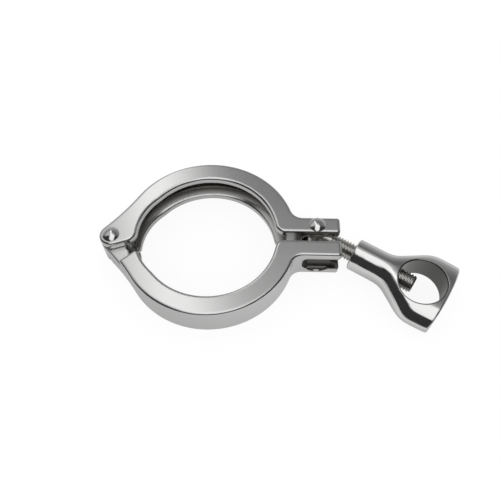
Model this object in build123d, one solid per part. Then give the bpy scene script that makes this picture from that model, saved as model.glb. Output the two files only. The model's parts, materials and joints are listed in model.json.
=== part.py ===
"""Hinged clamp for sanitary ferrules: two cast halves on a hinge rivet, a swing bolt and a wing nut.

Frame: millimetres, +Z along the ring's axis, origin at the centre of the ferrule groove.
The clamp lies on its flat lower faces, hinge at -X, lugs at +X, rear half at +Y, front half at -Y.
"""
from build123d import *
import math
import os

# ---- ring ----
ring_inner_radius = 34.7      # lips, round the tube
ring_wall = 10.2              # lips to the outer wall
ring_height = 18.5
groove_depth = 5.0            # room for the rims of the ferrules
groove_root_width = 8.2       # two rims and their gasket
groove_flank_angle = 20.0     # each flank, from the plane of the ring
rim_rounding = 1.1            # polished edges of the cast halves
base_bevel = 0.6

# ---- lugs ----
lug_length = 22.5             # beyond the ring
lug_outer_y = 11.3
parting_gap = 4.8             # between the two lugs
lug_root_fillet = 6.5
lug_end_rounding = 1.6
mouth_rounding = 5.0          # inner corner where the ring opens into the gap between the lugs
bolt_slot_clearance = 0.3     # above and below the bolt
bolt_slot_start = 3.2         # beyond the ring
bolt_slot_end_rounding = 3.2
nut_saddle_depth = 1.2        # in the front lug, under the seat of the closed nut

# ---- hinge ----
hinge_standoff = 4.9          # rivet axis beyond the ring
hinge_y = -1.4
ear_radius = 6.0
hinge_flank_radius = 120.0    # hollow flank from the ear to the ring
ear_edge_slope = 19.0         # lower edge of the ears, degrees from +X
ear_corner_rounding = 6.0
relief_depth = 2.3            # lips cut back beside the hinge
relief_offset = 8.0           # centre of that cut, towards the hinge
relief_blend = 20.0
tongue_thickness = 9.4
tongue_side_gap = 0.3
tongue_inset = 1.9            # inner end of the tongue, outside the groove's root
tongue_end_gap = 0.7
shoulder_start_angle = 19.2   # inner end of the front half's shoulder, below the hinge line
shoulder_start_margin = 1.1   # and outside the cut-back lips
shoulder_slope = 42.0
shoulder_rounding = 1.8
lower_shoulder_gap = 0.7      # to the rear half's lower ear

# ---- rivets ----
rivet_radius = 3.0
rivet_head_radius = 4.3
rivet_head_height = 1.5
rivet_tail_radius = 4.0
rivet_tail_depth = 1.2
running_clearance = 0.05

# ---- swing bolt ----
bolt_pivot_inset = 11.7       # from the end of the lugs
bolt_angle = -31.0            # as stored, from +X
bolt_radius = 4.75            # three-eighths thread
bolt_length = 56.0            # pivot to tip
bolt_tip_chamfer = 1.0
eye_radius = 5.8
eye_thickness = 9.4
eye_bevel = 1.0

# ---- wing nut ----
nut_start = 22.5              # from the bolt's pivot, as stored
boss_radius = 8.4
boss_rounding = 0.9
boss_length = 15.0            # round part, before the neck begins to widen
neck_length = 23.5            # from there to the widest part of the head
wing_width = 8.7              # beyond the finger hole, at the widest part of the arrowhead
head_taper = 0.08             # the width falls this much for each millimetre beyond
head_half_thickness = 7.9
head_flatness = 5.0           # powers of the lens-shaped section: across
head_edge_fullness = 1.3      # and through the thickness
end_bow_radius = 154.0        # the end is bowed out between the tips
end_bevel = 0.6
finger_hole_radius = 12.0
finger_hole_start = 24.6      # from the nut's seat to the near side of the hole
finger_hole_wall = 2.0        # from the hole to the end of the nut
finger_hole_bevel = 0.5

# ---- worked out ----
half_height = ring_height / 2
half_gap = parting_gap / 2
ring_outer_radius = ring_inner_radius + ring_wall
groove_root_radius = ring_inner_radius + groove_depth
lug_end_x = ring_outer_radius + lug_length
bolt_slot_height = 2 * (bolt_radius + bolt_slot_clearance)
bolt_slot_start_x = ring_outer_radius + bolt_slot_start
hinge_x = -ring_outer_radius - hinge_standoff
hinge_relief_x = -relief_offset
hinge_relief_radius = ring_inner_radius - relief_offset + relief_depth
tongue_inner_radius = groove_root_radius + tongue_inset
bolt_pivot_x = lug_end_x - bolt_pivot_inset
groove_mouth_half = groove_root_width / 2 + (groove_root_radius - ring_inner_radius) * math.tan(
    math.radians(groove_flank_angle)
)
hinge = (hinge_x, hinge_y)
bolt_pivot = (bolt_pivot_x, (lug_outer_y + half_gap) / 2)
tongue_slot_height = tongue_thickness + 2 * tongue_side_gap
knuckle_radius = ear_radius - running_clearance
nut_seat_radius = boss_radius - boss_rounding
nut_length = finger_hole_start + 2 * finger_hole_radius + finger_hole_wall
head_half_width = finger_hole_radius + wing_width
finger_hole_centre = nut_start + finger_hole_start + finger_hole_radius
reach = 2 * lug_end_x         # larger than any outline, for cutting regions
past = 1.0                    # how far a cutter runs past the face it cuts


def along(point, angle, distance):
    """The point at a distance from another, in a direction in degrees."""
    return (
        point[0] + distance * math.cos(math.radians(angle)),
        point[1] + distance * math.sin(math.radians(angle)),
    )


def towards(start, end, distance):
    """The point at a distance from start on the line to end."""
    return along(start, math.degrees(math.atan2(end[1] - start[1], end[0] - start[0])), distance)


def meeting_point(centre, radius, other, other_radius, side):
    """Where two circles meet, on the left (side 1) or right (side -1) of the line between centres."""
    gap = math.dist(centre, other)
    reach_along = (radius**2 - other_radius**2 + gap**2) / (2 * gap)
    offset = math.sqrt(radius**2 - reach_along**2)
    base = towards(centre, other, reach_along)
    heading = math.degrees(math.atan2(other[1] - centre[1], other[0] - centre[0]))
    return along(base, heading + 90 * side, offset)


def flat(points):
    """A face from corner points."""
    return make_face(Polyline(*points, close=True))


def disc(centre, radius):
    return Pos(centre[0], centre[1]) * Circle(radius)


def slab(region, low, high):
    """A flat region as a solid between two heights."""
    return extrude(Pos(0, 0, low) * region, high - low)


def round_corners(region, places, radius):
    """Round the corners of a flat region that lie nearest to the given places."""
    corners = [region.vertices().sort_by_distance(Vector(*place, 0))[0] for place in places]
    return fillet(corners, radius)


# ---- outer envelope of the closed clamp ----
def flank_side(side):
    """Ends and middle of the hollow flank from the ring to the hinge ear, above (1) or below (-1)."""
    centre = meeting_point(
        (0, 0), ring_outer_radius + hinge_flank_radius, hinge, ear_radius + hinge_flank_radius, -side
    )
    ring_end = towards((0, 0), centre, ring_outer_radius)
    ear_end = towards(hinge, centre, ear_radius)
    chord_middle = ((ring_end[0] + ear_end[0]) / 2, (ring_end[1] + ear_end[1]) / 2)
    middle = towards(centre, chord_middle, hinge_flank_radius)
    return ring_end, middle, ear_end


def lug_root(side):
    """Ends and middle of the fillet between the ring and a lug's outer side."""
    centre_y = lug_outer_y + lug_root_fillet
    centre_x = math.sqrt((ring_outer_radius + lug_root_fillet) ** 2 - centre_y**2)
    centre = (centre_x, side * centre_y)
    ring_end = towards((0, 0), centre, ring_outer_radius)
    lug_end = (centre_x, side * lug_outer_y)
    chord_middle = ((ring_end[0] + lug_end[0]) / 2, (ring_end[1] + lug_end[1]) / 2)
    return ring_end, towards(centre, chord_middle, lug_root_fillet), lug_end


def ring_arc(start, end):
    """Arc of the ring from one point to another, through the middle of its span."""
    first = math.degrees(math.atan2(start[1], start[0]))
    last = math.degrees(math.atan2(end[1], end[0]))
    return ThreePointArc(start, along((0, 0), (first + last) / 2, ring_outer_radius), end)


def envelope_outline():
    """Outline round ring, lugs and hinge ear."""
    rear_root, rear_root_middle, rear_lug = lug_root(1)
    front_root, front_root_middle, front_lug = lug_root(-1)
    rear_flank, rear_flank_middle, rear_ear = flank_side(1)
    front_flank, front_flank_middle, front_ear = flank_side(-1)
    edges = [
        Line((lug_end_x, -lug_outer_y), (lug_end_x, lug_outer_y)),
        Line((lug_end_x, lug_outer_y), rear_lug),
        ThreePointArc(rear_lug, rear_root_middle, rear_root),
        ring_arc(rear_root, rear_flank),
        ThreePointArc(rear_flank, rear_flank_middle, rear_ear),
        ThreePointArc(rear_ear, (hinge_x - ear_radius, hinge_y), front_ear),
        ThreePointArc(front_ear, front_flank_middle, front_flank),
        ring_arc(front_flank, front_root),
        ThreePointArc(front_root, front_root_middle, front_lug),
        Line(front_lug, (lug_end_x, -lug_outer_y)),
    ]
    return make_face(edges)


def cast_body(region, lug_side):
    """Solid of a half, with rounded upper edges and bevelled lower ones."""
    corners = [(lug_end_x, lug_side * half_gap), (lug_end_x, lug_side * lug_outer_y)]
    plan = round_corners(envelope_outline() & region, corners, lug_end_rounding)
    body = slab(plan, -half_height, half_height)
    body = fillet(body.faces().sort_by(Axis.Z)[-1].edges(), rim_rounding)
    return chamfer(body.faces().sort_by(Axis.Z)[0].edges(), base_bevel)


# ---- what is cut from both halves ----
def ferrule_groove():
    """V-shaped channel that draws the two ferrules together."""
    past_rise = past * math.tan(math.radians(groove_flank_angle))
    mouth = (ring_inner_radius - past, groove_mouth_half + past_rise)
    root = (groove_root_radius, groove_root_width / 2)
    section = Plane.XZ * flat([(mouth[0], -mouth[1]), (root[0], -root[1]), root, mouth])
    return revolve(section, Axis.Z)


def bore_region():
    return Circle(ring_inner_radius) + disc((hinge_relief_x, 0), hinge_relief_radius)


def relief_start(side):
    """Where the widened part of the lips leaves the bore, in the rear (1) or front (-1) half."""
    return meeting_point((0, 0), ring_inner_radius, (hinge_relief_x, 0), hinge_relief_radius, -side)


def bolt_slot():
    """Slot through both lugs, open at their ends, for the swing bolt."""
    length = lug_end_x - bolt_slot_start_x + past
    outline = Plane.XZ * Pos(bolt_slot_start_x + length / 2, 0) * Rectangle(length, bolt_slot_height)
    slot = extrude(outline, lug_outer_y + past, both=True)
    inner_edges = slot.edges().filter_by(Axis.Y).sort_by(Axis.X)[:2]
    return fillet(inner_edges, bolt_slot_end_rounding)


def tongue_pocket():
    """Room between the rear half's ears for the tongue and its swing."""
    corner = math.dist(hinge, (-tongue_inner_radius, hinge_y))
    sweep = disc(hinge, corner + tongue_end_gap)
    below = flat([(-reach, hinge_y), (-reach, -reach), (0, -reach), (0, hinge_y)])
    return slab(sweep + below, -tongue_slot_height / 2, tongue_slot_height / 2)


# ---- halves ----
def rear_region():
    """Plan of the rear half, before the outer envelope trims it."""
    touch = along(hinge, ear_edge_slope - 90, ear_radius)
    edge_end = along(touch, ear_edge_slope, -touch[0] / math.cos(math.radians(ear_edge_slope)))
    body = flat(
        [
            (reach, half_gap),
            (reach, reach),
            (-reach, reach),
            (-reach, hinge_y),
            hinge,
            touch,
            edge_end,
            (edge_end[0], half_gap),
        ]
    )
    region = body + disc(hinge, ear_radius) - bore_region()
    region = round_corners(region, [(ring_inner_radius, half_gap)], mouth_rounding)
    region = round_corners(region, [relief_start(1)], relief_blend)
    ear_corner = (hinge_relief_x - hinge_relief_radius, hinge_y - past)
    return round_corners(region, [ear_corner], ear_corner_rounding)


def shoulder_start():
    """Inner end of the edge where the front half's full height begins, beside the cut-back lips."""
    start_radius = hinge_relief_radius + shoulder_start_margin
    return along((hinge_relief_x, 0), shoulder_start_angle + 180, start_radius)


def front_region():
    """Plan of the front half's full-height part: all but the tongue."""
    inner = shoulder_start()
    outer = along(inner, shoulder_slope + 180, reach)
    body = flat([(reach, -half_gap), (0, -half_gap), along(inner, shoulder_slope, -inner[0]), inner,
                 outer, (outer[0], -reach), (reach, -reach)])
    region = body - bore_region()
    region = round_corners(region, [(ring_inner_radius, -half_gap)], mouth_rounding)
    region = round_corners(region, [relief_start(-1)], relief_blend)
    return round_corners(region, [inner], shoulder_rounding)


def tongue_region():
    """Plan of the middle tongue that goes between the ears, before the envelope trims it."""
    inner = shoulder_start()
    body = flat([hinge, along(hinge, 0, knuckle_radius), (-tongue_inner_radius, hinge_y - knuckle_radius),
                 inner, (0, -ring_inner_radius), (-ring_inner_radius, -reach), (-reach, -reach),
                 (-reach, hinge_y)])
    return body - disc((0, 0), tongue_inner_radius) + disc(hinge, knuckle_radius)


def lower_shoulder_region():
    """Plan of the front half's lower shoulder, which reaches up to the rear half's lower ear."""
    clear = ear_radius + lower_shoulder_gap
    touch = along(hinge, ear_edge_slope - 90, clear)
    inner = shoulder_start()
    edge_end = along(touch, ear_edge_slope, (inner[0] - touch[0]) / math.cos(math.radians(ear_edge_slope)))
    body = flat([(hinge_x - clear, hinge_y), hinge, touch, edge_end, (inner[0] + clear, inner[1] - clear),
                 (inner[0] + clear, -reach), (hinge_x - clear, -reach)])
    return body - disc(hinge, clear) - bore_region()


def rivet_hole(centre, radius):
    return Pos(*centre) * Cylinder(radius, ring_height + 2 * past)


def rivet_tail_seat(centre):
    """Countersink in the lower face, filled by the flush tail of a rivet."""
    cone = Cone(rivet_tail_radius, rivet_radius, rivet_tail_depth)
    return Pos(centre[0], centre[1], -half_height + rivet_tail_depth / 2) * cone


def rear_half():
    half = cast_body(rear_region(), 1) - ferrule_groove() - tongue_pocket() - bolt_slot()
    for centre in (hinge, bolt_pivot):
        half = half - rivet_hole(centre, rivet_radius) - rivet_tail_seat(centre)
    return half


def nut_saddle():
    """Hollow under the slot of the front lug that keeps the closed nut from sliding off its end."""
    cutter = Rot(90, 0, 0) * Cylinder(nut_seat_radius, nut_saddle_depth + past)
    below = Pos(0, 0, -nut_seat_radius) * Box(reach, reach, 2 * nut_seat_radius)
    middle_y = -lug_outer_y + (nut_saddle_depth - past) / 2
    return Pos(bolt_pivot_x, middle_y, 0) * (cutter & below)


def front_half():
    envelope = envelope_outline()
    tongue = slab(envelope & tongue_region(), -tongue_thickness / 2, tongue_thickness / 2)
    lower_shoulder = slab(envelope & lower_shoulder_region(), -half_height, -tongue_thickness / 2)
    lower_shoulder = chamfer(lower_shoulder.faces().sort_by(Axis.Z)[0].edges(), base_bevel)
    half = cast_body(front_region(), -1) + tongue + lower_shoulder - ferrule_groove() - bolt_slot()
    return half - nut_saddle() - rivet_hole(hinge, rivet_radius + running_clearance)


# ---- rivets ----
def rivet(centre):
    """Domed head above, flush peened tail below."""
    dome_radius = (rivet_head_radius**2 + rivet_head_height**2) / (2 * rivet_head_height)
    dome = Pos(0, 0, half_height + rivet_head_height - dome_radius) * Sphere(dome_radius)
    above = Pos(0, 0, half_height + rivet_head_height) * Cylinder(rivet_head_radius, 2 * rivet_head_height)
    shank = Cylinder(rivet_radius, ring_height)
    tail = rivet_tail_seat((0, 0))
    return Pos(*centre) * ((dome & above) + shank + tail)


# ---- swing bolt and nut, modelled along +X from the bolt's pivot ----
def eye_bolt():
    eye = chamfer(Cylinder(eye_radius, eye_thickness).edges(), eye_bevel)
    shank = Rot(0, 90, 0) * Pos(0, 0, bolt_length / 2) * Cylinder(bolt_radius, bolt_length)
    shank = chamfer(shank.edges().sort_by(Axis.X)[-1], bolt_tip_chamfer)
    return eye + shank - Cylinder(rivet_radius + running_clearance, 2 * eye_thickness)


def lens_point(angle, half_width, half_thickness, flatness, fullness):
    """Point of a lens-shaped section in a direction in degrees."""
    across = abs(math.cos(math.radians(angle)))
    up = abs(math.sin(math.radians(angle)))
    inside = 0.0
    outside = 2.0
    for _ in range(40):
        radius = (inside + outside) / 2
        if (radius * across) ** flatness + (radius * up) ** fullness < 1:
            inside = radius
        else:
            outside = radius
    return (math.copysign(inside * across * half_width, math.cos(math.radians(angle))),
            math.copysign(inside * up * half_thickness, math.sin(math.radians(angle))))


def smooth_step(value):
    """From 0 to 1 with level ends."""
    share = min(max(value, 0), 1)
    return share * share * (3 - 2 * share)


def nut_section(place):
    """Section at a place along the nut: round boss, then widening to the lens-shaped head."""
    blend = smooth_step((place - nut_start - boss_length) / neck_length)
    beyond = max(place - nut_start - boss_length - neck_length, 0)
    taper = head_taper * beyond * smooth_step(beyond / neck_length)
    half_width = boss_radius + blend * (head_half_width - boss_radius) - taper
    half_thickness = boss_radius + blend * (head_half_thickness - boss_radius)
    flatness = 2 + blend * (head_flatness - 2)
    fullness = 2 + blend * (head_edge_fullness - 2)
    points = [lens_point(angle, half_width, half_thickness, flatness, fullness)
              for angle in range(0, 360, 15)]
    outline = make_face(Spline(*points, periodic=True))
    return Plane(origin=(place, 0, 0), x_dir=(0, 1, 0), z_dir=(1, 0, 0)) * outline


def wing_nut():
    """Round boss that runs into an arrowhead with a finger hole, all in one smooth casting."""
    end = nut_start + nut_length
    loft_start = nut_start - boss_length / 2
    steps = 14
    step_length = (end + past - loft_start) / steps
    body = loft([nut_section(loft_start + step * step_length) for step in range(steps + 1)])
    bowed = disc((end - end_bow_radius, 0), end_bow_radius)
    span = flat([(nut_start, -head_half_width - past), (end, -head_half_width - past),
                 (end, head_half_width + past), (nut_start, head_half_width + past)])
    body = body & slab(bowed & span, -boss_radius - past, boss_radius + past)
    body = body - Pos(finger_hole_centre, 0, 0) * Cylinder(finger_hole_radius, 4 * head_half_thickness)
    body = chamfer(body.faces().sort_by(Axis.X)[-1].edges(), end_bevel)
    body = fillet(body.faces().sort_by(Axis.X)[0].edges(), boss_rounding)
    hole_wall = body.faces().filter_by(GeomType.CYLINDER).sort_by(lambda face: face.radius)[0]
    body = chamfer(hole_wall.edges(), finger_hole_bevel)
    thread_bore = Rot(0, 90, 0) * Pos(0, 0, finger_hole_centre / 2) * Cylinder(
        bolt_radius + running_clearance, finger_hole_centre)
    return body - thread_bore


def on_bolt_axis(piece):
    """Put a piece modelled along +X from the pivot where the bolt stands."""
    return Pos(*bolt_pivot) * Rot(0, 0, bolt_angle) * piece


NODES = {
    "rear_half": rear_half,
    "front_half": front_half,
    "hinge_rivet": lambda: rivet(hinge),
    "bolt_rivet": lambda: rivet(bolt_pivot),
    "eye_bolt": lambda: on_bolt_axis(eye_bolt()),
    "wing_nut": lambda: on_bolt_axis(wing_nut()),
}

os.makedirs("parts", exist_ok=True)
for name, make in NODES.items():
    export_step(make(), f"parts/{name}.step")
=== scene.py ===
"""Looks of the hinged sanitary clamp: satin cast halves, polished rivets and nut, threaded eye bolt."""
import json
import math

import bmesh
import bpy
from mathutils import Matrix, Vector


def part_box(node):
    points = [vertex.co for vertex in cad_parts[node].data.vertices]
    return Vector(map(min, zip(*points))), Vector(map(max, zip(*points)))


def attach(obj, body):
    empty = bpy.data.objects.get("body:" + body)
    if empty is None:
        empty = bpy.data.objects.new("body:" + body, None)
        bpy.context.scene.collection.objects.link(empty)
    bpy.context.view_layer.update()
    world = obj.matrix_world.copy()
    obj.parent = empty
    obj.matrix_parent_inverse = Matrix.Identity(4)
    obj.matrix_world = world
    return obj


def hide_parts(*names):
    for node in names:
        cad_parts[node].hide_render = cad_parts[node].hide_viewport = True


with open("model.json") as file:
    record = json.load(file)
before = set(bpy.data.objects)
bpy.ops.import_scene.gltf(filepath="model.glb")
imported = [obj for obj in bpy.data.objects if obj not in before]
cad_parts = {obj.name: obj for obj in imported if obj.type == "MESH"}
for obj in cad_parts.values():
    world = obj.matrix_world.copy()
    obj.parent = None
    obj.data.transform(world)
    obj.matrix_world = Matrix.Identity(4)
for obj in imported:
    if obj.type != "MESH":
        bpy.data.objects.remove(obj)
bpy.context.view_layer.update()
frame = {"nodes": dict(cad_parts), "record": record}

MM = 0.001

# ---- sizes taken from the frame ----
floor_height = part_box("rear_half")[0][2]
joints = {joint["name"]: joint for joint in frame["record"]["behaviour"]["joints"]}
bolt_pivot = Vector(joints["bolt_swing"]["pos_m"])
bolt_axis = Vector(joints["nut_turn"]["axis"])

# ---- sizes of the threaded bolt, which stands for the plain one ----
bolt_length = 56.0 * MM
bolt_radius = 4.74 * MM
tip_chamfer = 1.0 * MM
eye_radius = 5.8 * MM
eye_hole_radius = 3.05 * MM
eye_half_thickness = 4.7 * MM
eye_bevel = 1.0 * MM
thread_pitch = 1.5875 * MM  # 16 per inch
thread_depth = 0.75 * MM
thread_start = 9.0 * MM
crest_share = 0.14  # of the pitch
flank_share = 0.66  # of the pitch, both flanks together
rows_per_turn = 14
columns = 64
sharp_angle = math.radians(32)
weld_distance = 1e-7

# ---- where shade is painted on the steel: lengths between which it fades ----
groove_deepening = (34.9 * MM, 39.3 * MM)  # from the ring's axis
groove_root_fade = (40.0 * MM, 40.4 * MM)
groove_mouth_fade = (6.1 * MM, 6.6 * MM)  # from mid height
lug_start_fade = (46.0 * MM, 47.5 * MM)  # along X
parting_start_fade = (43.5 * MM, 46.0 * MM)
lug_limit = 67.2 * MM
slot_half_height, slot_reach = 5.1 * MM, 11.1 * MM  # a reach is from the plane between the halves
saddle_half_height, saddle_reach = 8.6 * MM, 10.4 * MM
parting_reach = 2.42 * MM
recess_fade = 0.1 * MM
finger_hole_distance = 59.1 * MM  # from the bolt's pivot, along the bolt
finger_hole_radius = 12.0 * MM
bore_fade = (0.55 * MM, 0.65 * MM)  # outside the finger hole's radius

# ---- how dark the painted shade is, from 0 to 1 ----
groove_darkness = 0.9
slot_darkness = 0.85
parting_darkness = 0.75
bore_darkness = (0.5, 0.85)  # at the left and at the right of the finger hole

# ---- finishes ----
# colour of the painted shade on the halves, in the groove, the lug slots and the parting faces
painted_shade_colour = (0.15, 0.14, 0.125, 1)
# colour of the painted shade in the nut's finger hole
bore_shade_colour = (0.1, 0.1, 0.095, 1)
noise_span = (0.3, 0.7)  # where most values of a noise lie
brush_stretch = (0.06, 1.0, 0.5)  # shares of the brush scale, so that the grain is drawn out along X
cast_softness, nut_softness = 1.4 * MM, 0.9 * MM  # radius that edges seem to have
softness_samples = 8


# ---- node helpers ----
def new_material(name):
    """Material with an output node alone, and what is needed to add more."""
    material = bpy.data.materials.new(name)
    material.use_nodes = True
    nodes = material.node_tree.nodes
    nodes.clear()
    output = nodes.new("ShaderNodeOutputMaterial")
    return material, nodes, material.node_tree.links, output


def math_node(nodes, links, operation, *values):
    """Output of a math node whose inputs are numbers or other outputs."""
    node = nodes.new("ShaderNodeMath")
    node.operation = operation
    for socket, value in zip(node.inputs, values):
        if isinstance(value, (int, float)):
            socket.default_value = value
        else:
            links.new(value, socket)
    return node.outputs[0]


def ramp(nodes, links, value, low, high, to_low=0.0, to_high=1.0):
    """Smooth step of a value from one level to another."""
    node = nodes.new("ShaderNodeMapRange")
    node.interpolation_type = "SMOOTHSTEP"
    node.inputs["From Min"].default_value = low
    node.inputs["From Max"].default_value = high
    node.inputs["To Min"].default_value = to_low
    node.inputs["To Max"].default_value = to_high
    links.new(value, node.inputs["Value"])
    return node.outputs[0]


# ---- materials ----
def distance_from(nodes, links, place, centre):
    """Of a place on the object: distance from an upright axis, height, and how far along X past it."""
    split = nodes.new("ShaderNodeSeparateXYZ")
    links.new(place, split.inputs[0])
    across = math_node(nodes, links, "SUBTRACT", split.outputs[0], centre[0])
    depth = math_node(nodes, links, "SUBTRACT", split.outputs[1], centre[1])
    square = math_node(nodes, links, "MULTIPLY", depth, depth)
    square = math_node(nodes, links, "MULTIPLY_ADD", across, across, square)
    away = math_node(nodes, links, "SQRT", square)
    return away, split.outputs[2], across


def groove_shade(nodes, links, place):
    """Painted shade in the ferrule groove, darkest at its foot."""
    away, up, _ = distance_from(nodes, links, place, (0.0, 0.0))
    within_root = ramp(nodes, links, away, *groove_root_fade, 1.0, 0.0)
    deep = ramp(nodes, links, away, *groove_deepening, 0.0, groove_darkness)
    height = math_node(nodes, links, "ABSOLUTE", up)
    within_mouth = ramp(nodes, links, height, *groove_mouth_fade, 1.0, 0.0)
    deep = math_node(nodes, links, "MULTIPLY", deep, within_root)
    return math_node(nodes, links, "MULTIPLY", deep, within_mouth)


def recess_shade(nodes, links, place):
    """Painted shade in the slots of the lugs and on the faces where the halves part."""

    def op(operation, *values):
        return math_node(nodes, links, operation, *values)

    def within(value, limit):
        """1 up to a limit, and 0 a short way beyond it."""
        return ramp(nodes, links, value, limit, limit + recess_fade, 1.0, 0.0)

    split = nodes.new("ShaderNodeSeparateXYZ")
    links.new(place, split.inputs[0])
    across, depth, up = split.outputs
    depth = op("ABSOLUTE", depth)
    up = op("ABSOLUTE", up)
    lug = op("MULTIPLY", ramp(nodes, links, across, *lug_start_fade), within(across, lug_limit))
    slot = op("MULTIPLY", within(up, slot_half_height), within(depth, slot_reach))
    saddle = op("MULTIPLY", within(up, saddle_half_height), within(depth, saddle_reach))
    recess = op("MULTIPLY", op("MAXIMUM", slot, saddle), lug)
    parting = op("MULTIPLY", within(depth, parting_reach), ramp(nodes, links, across, *parting_start_fade))
    parting = op("MULTIPLY", parting, within(across, lug_limit))
    return op("MAXIMUM", op("MULTIPLY", recess, slot_darkness), op("MULTIPLY", parting, parting_darkness))


def satin_steel(name, colour, face_roughness, edge_roughness, brush_scale):
    """Fine-brushed cast steel whose rounded edges are polished."""
    wall_slope, face_slope = (0.16, 0.24), (0.93, 0.985)  # of the upward part of the normal
    brush_detail, brush_tint = 4.0, 0.96
    bump_strength, bump_height = 0.04, 0.02 * MM
    material, nodes, links, output = new_material(name)
    shader = nodes.new("ShaderNodeBsdfPrincipled")
    shader.inputs["Metallic"].default_value = 1.0
    place = nodes.new("ShaderNodeTexCoord")
    split = nodes.new("ShaderNodeSeparateXYZ")
    links.new(place.outputs["Normal"], split.inputs[0])
    slope = math_node(nodes, links, "ABSOLUTE", split.outputs[2])
    off_wall = ramp(nodes, links, slope, *wall_slope)
    off_face = ramp(nodes, links, slope, *face_slope, 1.0, 0.0)
    edge = math_node(nodes, links, "MULTIPLY", off_wall, off_face)
    stretch = nodes.new("ShaderNodeMapping")
    stretch.inputs["Scale"].default_value = [brush_scale * share for share in brush_stretch]
    links.new(place.outputs["Object"], stretch.inputs[0])
    grain = nodes.new("ShaderNodeTexNoise")
    grain.inputs["Scale"].default_value = 1.0
    grain.inputs["Detail"].default_value = brush_detail
    links.new(stretch.outputs[0], grain.inputs["Vector"])
    smoothest, roughest = face_roughness * 0.9, face_roughness * 1.1
    wave = ramp(nodes, links, grain.outputs["Fac"], *noise_span, smoothest, roughest)
    rough = nodes.new("ShaderNodeMix")
    links.new(edge, rough.inputs["Factor"])
    links.new(wave, rough.inputs["A"])
    rough.inputs["B"].default_value = edge_roughness
    links.new(rough.outputs[0], shader.inputs["Roughness"])
    tint = nodes.new("ShaderNodeMix")
    tint.data_type = "RGBA"
    tint.inputs["A"].default_value = (*[brush_tint * channel for channel in colour], 1)
    tint.inputs["B"].default_value = (*colour, 1)
    links.new(grain.outputs["Fac"], tint.inputs["Factor"])
    # painted shade in the ferrule groove, the lug slots and the parting faces
    shade = nodes.new("ShaderNodeMix")
    shade.data_type = "RGBA"
    groove = groove_shade(nodes, links, place.outputs["Object"])
    recess = recess_shade(nodes, links, place.outputs["Object"])
    links.new(math_node(nodes, links, "MAXIMUM", groove, recess), shade.inputs["Factor"])
    links.new(tint.outputs["Result"], shade.inputs["A"])
    shade.inputs["B"].default_value = painted_shade_colour
    links.new(shade.outputs["Result"], shader.inputs["Base Color"])
    bump = nodes.new("ShaderNodeBump")
    bump.inputs["Strength"].default_value = bump_strength
    bump.inputs["Distance"].default_value = bump_height
    links.new(grain.outputs["Fac"], bump.inputs["Height"])
    soft = nodes.new("ShaderNodeBevel")
    soft.samples = softness_samples
    soft.inputs["Radius"].default_value = cast_softness
    links.new(soft.outputs[0], bump.inputs["Normal"])
    links.new(bump.outputs[0], shader.inputs["Normal"])
    links.new(shader.outputs[0], output.inputs["Surface"])
    return material


def polished_steel(name, colour, roughness, bore=None, softened=None):
    """Polished steel with faint unevenness, with painted shade in a bore given by its centre and radius,
    darker towards the bore's right, and with edges that look as round as softened says."""
    cloud_scale, cloud_detail = 300.0, 3.0
    material, nodes, links, output = new_material(name)
    shader = nodes.new("ShaderNodeBsdfPrincipled")
    shader.inputs["Metallic"].default_value = 1.0
    shader.inputs["Base Color"].default_value = (*colour, 1)
    place = nodes.new("ShaderNodeTexCoord")
    # painted shade in the bore, darker towards its right
    if bore:
        centre, radius = bore
        away, _, across = distance_from(nodes, links, place.outputs["Object"], centre)
        inside = ramp(nodes, links, away, radius + bore_fade[0], radius + bore_fade[1], 1.0, 0.0)
        darkness = ramp(nodes, links, across, -radius, radius, *bore_darkness)
        bore_shade = math_node(nodes, links, "MULTIPLY", inside, darkness)
        shade = nodes.new("ShaderNodeMix")
        shade.data_type = "RGBA"
        links.new(bore_shade, shade.inputs["Factor"])
        shade.inputs["A"].default_value = (*colour, 1)
        shade.inputs["B"].default_value = bore_shade_colour
        links.new(shade.outputs["Result"], shader.inputs["Base Color"])
    cloud = nodes.new("ShaderNodeTexNoise")
    cloud.inputs["Scale"].default_value = cloud_scale
    cloud.inputs["Detail"].default_value = cloud_detail
    links.new(place.outputs["Object"], cloud.inputs["Vector"])
    smoothest, roughest = roughness * 0.85, roughness * 1.2
    rough = ramp(nodes, links, cloud.outputs["Fac"], *noise_span, smoothest, roughest)
    links.new(rough, shader.inputs["Roughness"])
    if softened:
        soft = nodes.new("ShaderNodeBevel")
        soft.samples = softness_samples
        soft.inputs["Radius"].default_value = softened
        links.new(soft.outputs[0], shader.inputs["Normal"])
    links.new(shader.outputs[0], output.inputs["Surface"])
    return material


def dress(node, material):
    """Give a CAD node its material."""
    piece = frame["nodes"][node]
    for part_slot in piece.material_slots:
        part_slot.material = material
    if not piece.material_slots:
        piece.data.materials.append(material)


cast = satin_steel(
    "cast_satin_steel", (0.72, 0.72, 0.715), face_roughness=0.19, edge_roughness=0.12, brush_scale=9000.0
)
rivet_steel = polished_steel("rivet_steel", (0.78, 0.78, 0.775), roughness=0.12)
finger_hole = (bolt_pivot + bolt_axis * finger_hole_distance, finger_hole_radius)
nut_steel = polished_steel(
    "nut_steel", (0.8, 0.8, 0.795), roughness=0.09, bore=finger_hole, softened=nut_softness
)
bolt_steel = polished_steel("bolt_steel", (0.62, 0.61, 0.59), roughness=0.24)

for half in ("rear_half", "front_half"):
    dress(half, cast)
for rivet in ("hinge_rivet", "bolt_rivet"):
    dress(rivet, rivet_steel)
dress("wing_nut", nut_steel)


# ---- threaded eye bolt ----
def thread_radius(position, phase):
    """Radius of the rod: V-shaped thread with flat crests, run in at its start and chamfered at the tip."""
    wave = abs((phase % 1.0) - 0.5) * 2
    cut = min(max((wave - crest_share) / flank_share, 0.0), 1.0)
    run_in = min(max((position - thread_start) / thread_pitch, 0.0), 1.0)
    chamfered = bolt_radius - tip_chamfer + (bolt_length - position)
    return min(bolt_radius - thread_depth * cut * run_in, chamfered)


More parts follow.
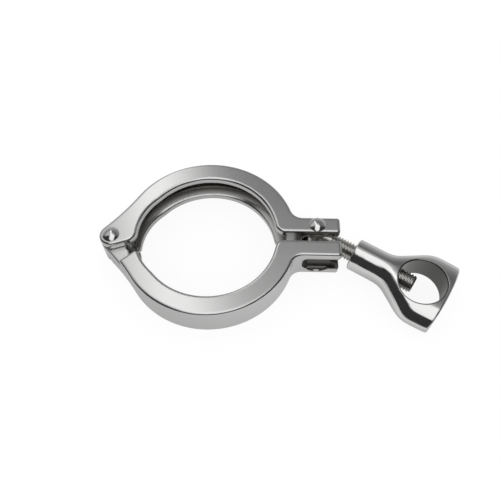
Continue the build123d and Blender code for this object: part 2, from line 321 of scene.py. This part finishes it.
def add_rod(mesh):
    """Rod along +X with a helical grid, from the eye to the tip."""
    rod_start = math.sqrt(eye_radius**2 - bolt_radius**2)
    turns = math.ceil((bolt_length - rod_start) / thread_pitch) + 2
    rows = []
    for row in range(turns * rows_per_turn + 1):
        line = []
        for column in range(columns):
            turn = row / rows_per_turn - 1 + column / columns
            position = min(max(rod_start + turn * thread_pitch, rod_start), bolt_length)
            radius = thread_radius(position, row / rows_per_turn)
            angle = 2 * math.pi * column / columns
            line.append(mesh.verts.new((position, radius * math.cos(angle), radius * math.sin(angle))))
        rows.append(line)
    for low, high in zip(rows, rows[1:]):
        for column in range(columns - 1):
            mesh.faces.new((low[column], high[column], high[column + 1], low[column + 1]))
    for row in range(len(rows) - rows_per_turn - 1):
        after = row + rows_per_turn
        mesh.faces.new((rows[row][-1], rows[row + 1][-1], rows[after + 1][0], rows[after][0]))
    tip = mesh.verts.new((bolt_length, 0, 0))
    last = rows[-1]
    for column in range(columns):
        mesh.faces.new((last[column], tip, last[(column + 1) % columns]))


def add_eye(mesh):
    """Bevelled eye round the rivet, turned about Z."""
    profile = [
        (eye_hole_radius, -eye_half_thickness),
        (eye_radius - eye_bevel, -eye_half_thickness),
        (eye_radius, -eye_half_thickness + eye_bevel),
        (eye_radius, eye_half_thickness - eye_bevel),
        (eye_radius - eye_bevel, eye_half_thickness),
        (eye_hole_radius, eye_half_thickness),
    ]
    rings = []
    for column in range(columns):
        angle = 2 * math.pi * column / columns
        across, depth = math.cos(angle), math.sin(angle)
        rings.append([mesh.verts.new((radius * across, radius * depth, up)) for radius, up in profile])
    for column, ring in enumerate(rings):
        after = rings[(column + 1) % columns]
        for corner in range(len(profile)):
            beyond = (corner + 1) % len(profile)
            mesh.faces.new((ring[corner], after[corner], after[beyond], ring[beyond]))


def make_bolt():
    """Threaded eye bolt, which stands for the plain one and goes with its body."""
    mesh = bmesh.new()
    add_rod(mesh)
    add_eye(mesh)
    bmesh.ops.remove_doubles(mesh, verts=mesh.verts, dist=weld_distance)
    bmesh.ops.dissolve_degenerate(mesh, edges=mesh.edges, dist=weld_distance)
    bmesh.ops.recalc_face_normals(mesh, faces=mesh.faces)
    data = bpy.data.meshes.new("threaded_bolt")
    mesh.to_mesh(data)
    mesh.free()
    data.shade_smooth()
    data.set_sharp_from_angle(angle=sharp_angle)
    data.materials.append(bolt_steel)
    piece = bpy.data.objects.new("threaded_bolt", data)
    bpy.context.scene.collection.objects.link(piece)
    turn = math.atan2(bolt_axis.y, bolt_axis.x)
    piece.matrix_world = Matrix.Translation((bolt_pivot.x, bolt_pivot.y, 0)) @ Matrix.Rotation(turn, 4, "Z")
    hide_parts("eye_bolt")
    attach(piece, "bolt")


make_bolt()


# ---- floor, light and camera ----
def make_floor():
    """White floor, which the steel mirrors darker, and unevenly from left to right, with a painted shade
    under the nut.
    """
    floor_radius, corners = 3.0, 96
    matte_white = (0.9, 0.9, 0.9, 1)
    glow_seen, glow_share_seen, glow_share_mirrored = 1.07, 0.84, 0.5
    left, right, nut_start = -70 * MM, 60 * MM, 85 * MM
    left_glow, right_glow, share_under_nut = 0.5, 0.76, 0.6
    bpy.ops.mesh.primitive_circle_add(
        vertices=corners, radius=floor_radius, fill_type="NGON", location=(0, 0, floor_height)
    )
    floor = bpy.context.object
    floor.name = "floor"
    material, nodes, links, output = new_material("floor_white")
    matte = nodes.new("ShaderNodeBsdfDiffuse")
    matte.inputs["Color"].default_value = matte_white
    glow = nodes.new("ShaderNodeEmission")
    mix = nodes.new("ShaderNodeMixShader")
    path = nodes.new("ShaderNodeLightPath").outputs
    seen = math_node(nodes, links, "MAXIMUM", path["Is Camera Ray"], path["Is Transmission Ray"])
    place = nodes.new("ShaderNodeTexCoord")
    split = nodes.new("ShaderNodeSeparateXYZ")
    links.new(place.outputs["Object"], split.inputs[0])
    mirrored = path["Is Glossy Ray"]
    across = split.outputs[0]
    uneven = ramp(nodes, links, across, left, right, left_glow, right_glow)
    # painted shade: in reflections the floor glows less under the nut
    under_nut = ramp(nodes, links, across, right, nut_start, 1.0, share_under_nut)
    uneven = math_node(nodes, links, "MULTIPLY", uneven, under_nut)
    uneven = math_node(nodes, links, "MULTIPLY", mirrored, uneven)
    links.new(math_node(nodes, links, "MULTIPLY_ADD", seen, glow_seen, uneven), glow.inputs["Strength"])
    share = math_node(nodes, links, "MULTIPLY", mirrored, glow_share_mirrored)
    share = math_node(nodes, links, "MULTIPLY_ADD", seen, glow_share_seen, share)
    links.new(share, mix.inputs[0])
    links.new(matte.outputs[0], mix.inputs[1])
    links.new(glow.outputs[0], mix.inputs[2])
    links.new(mix.outputs[0], output.inputs["Surface"])
    floor.data.materials.append(material)


def studio_world():
    """White to the eye, and an even pale sky over the floor. Reflections see lamps overhead and in front,
    a pale wall at the left that ends in a bright strip, grey behind and on the right, and dark on the
    viewer's side."""
    slant = 0.235  # how far the wall and its strip lean to the left as they run back
    strip_strength, darkest, sky_strength = 1.25, 0.04, 0.8
    lamps = (
        ((0.05, -0.02, 1.0), 16, 24, 1.35),
        ((0.02, -0.34, 0.94), 16, 22, 1.3),
    )
    world = bpy.data.worlds.new("studio")
    bpy.context.scene.world = world
    world.use_nodes = True
    nodes, links = world.node_tree.nodes, world.node_tree.links
    nodes.clear()
    output = nodes.new("ShaderNodeOutputWorld")
    background = nodes.new("ShaderNodeBackground")
    direction = nodes.new("ShaderNodeTexCoord").outputs["Generated"]
    split = nodes.new("ShaderNodeSeparateXYZ")
    links.new(direction, split.inputs[0])
    across, depth, up = split.outputs

    def op(operation, *values):
        return math_node(nodes, links, operation, *values)

    def step(value, low, high, to_low=0.0, to_high=1.0):
        return ramp(nodes, links, value, low, high, to_low, to_high)

    def lamp(aim, inner, outer, strength):
        """Round patch of light, full inside one angle in degrees and gone beyond another."""
        dot = nodes.new("ShaderNodeVectorMath")
        dot.operation = "DOT_PRODUCT"
        links.new(direction, dot.inputs[0])
        dot.inputs[1].default_value = Vector(aim).normalized()
        edge, core = math.cos(math.radians(outer)), math.cos(math.radians(inner))
        return step(dot.outputs["Value"], edge, core, 0.0, strength)

    # across, depth and up are parts of a unit direction: to the right, to the back and upwards
    side = op("MULTIPLY_ADD", depth, slant, across)
    wall = step(side, -0.04, 0.09, 0.68, 0.56)
    wall = op("MULTIPLY", wall, step(side, 0.27, 0.42, 1.0, 0.35))
    right_depth = op("MULTIPLY", depth, step(side, -0.03, 0.07))
    wall = op("MULTIPLY", wall, step(right_depth, 0.4, 0.62, 1.0, 0.42))
    strip = op("MULTIPLY", step(side, -0.13, -0.06), step(side, -0.035, 0.055, 1.0, 0.0))
    wall = op("ADD", wall, op("MULTIPLY", strip, strip_strength))
    low = op("MULTIPLY", step(up, 0.0, 0.95, 0.5, 0.14), step(depth, 0.1, 0.4))
    level = op("MULTIPLY", wall, op("MULTIPLY", step(depth, 0.02, 0.2), step(up, 0.35, 0.7)))
    level = op("MAXIMUM", op("MAXIMUM", level, low), darkest)
    for aim, inner, outer, strength in lamps:
        level = op("MAXIMUM", level, lamp(aim, inner, outer, strength))
    path = nodes.new("ShaderNodeLightPath").outputs
    mirrored = path["Is Glossy Ray"]
    seen = op("MAXIMUM", path["Is Camera Ray"], path["Is Transmission Ray"])
    sky = op("MULTIPLY", op("SUBTRACT", 1.0, mirrored), sky_strength)
    light = op("MULTIPLY_ADD", op("MULTIPLY", level, mirrored), sky_strength, sky)
    background.inputs["Color"].default_value = (1, 1, 1, 1)
    links.new(op("MAXIMUM", light, seen), background.inputs["Strength"])
    links.new(background.outputs[0], output.inputs["Surface"])


def place_camera():
    """Camera that looks down at the clamp from the front, about 60 degrees up."""
    distance, focal_length, sensor_width, nearest = 0.2978, 41.24, 36.0, 0.01
    target = Vector((21.2 * MM, -3.7 * MM, 0))
    elevation, azimuth, roll = (math.radians(angle) for angle in (60.05, 1.74, -0.35))
    level = math.cos(elevation)
    back = Vector((math.sin(azimuth) * level, -math.cos(azimuth) * level, math.sin(elevation)))
    right = (-back).cross(Vector((0, 0, 1))).normalized()
    up = right.cross(-back)
    turned_right = right * math.cos(roll) + up * math.sin(roll)
    turned_up = up * math.cos(roll) - right * math.sin(roll)
    camera_data = bpy.data.cameras.new("camera")
    camera_data.lens = focal_length
    camera_data.sensor_width = sensor_width
    camera_data.clip_start = nearest
    camera = bpy.data.objects.new("camera", camera_data)
    bpy.context.scene.collection.objects.link(camera)
    axes = Matrix((turned_right, turned_up, back)).transposed().to_4x4()
    camera.matrix_world = Matrix.Translation(target + back * distance) @ axes
    bpy.context.scene.camera = camera


make_floor()
studio_world()
place_camera()
bpy.context.scene.view_settings.view_transform = "Standard"
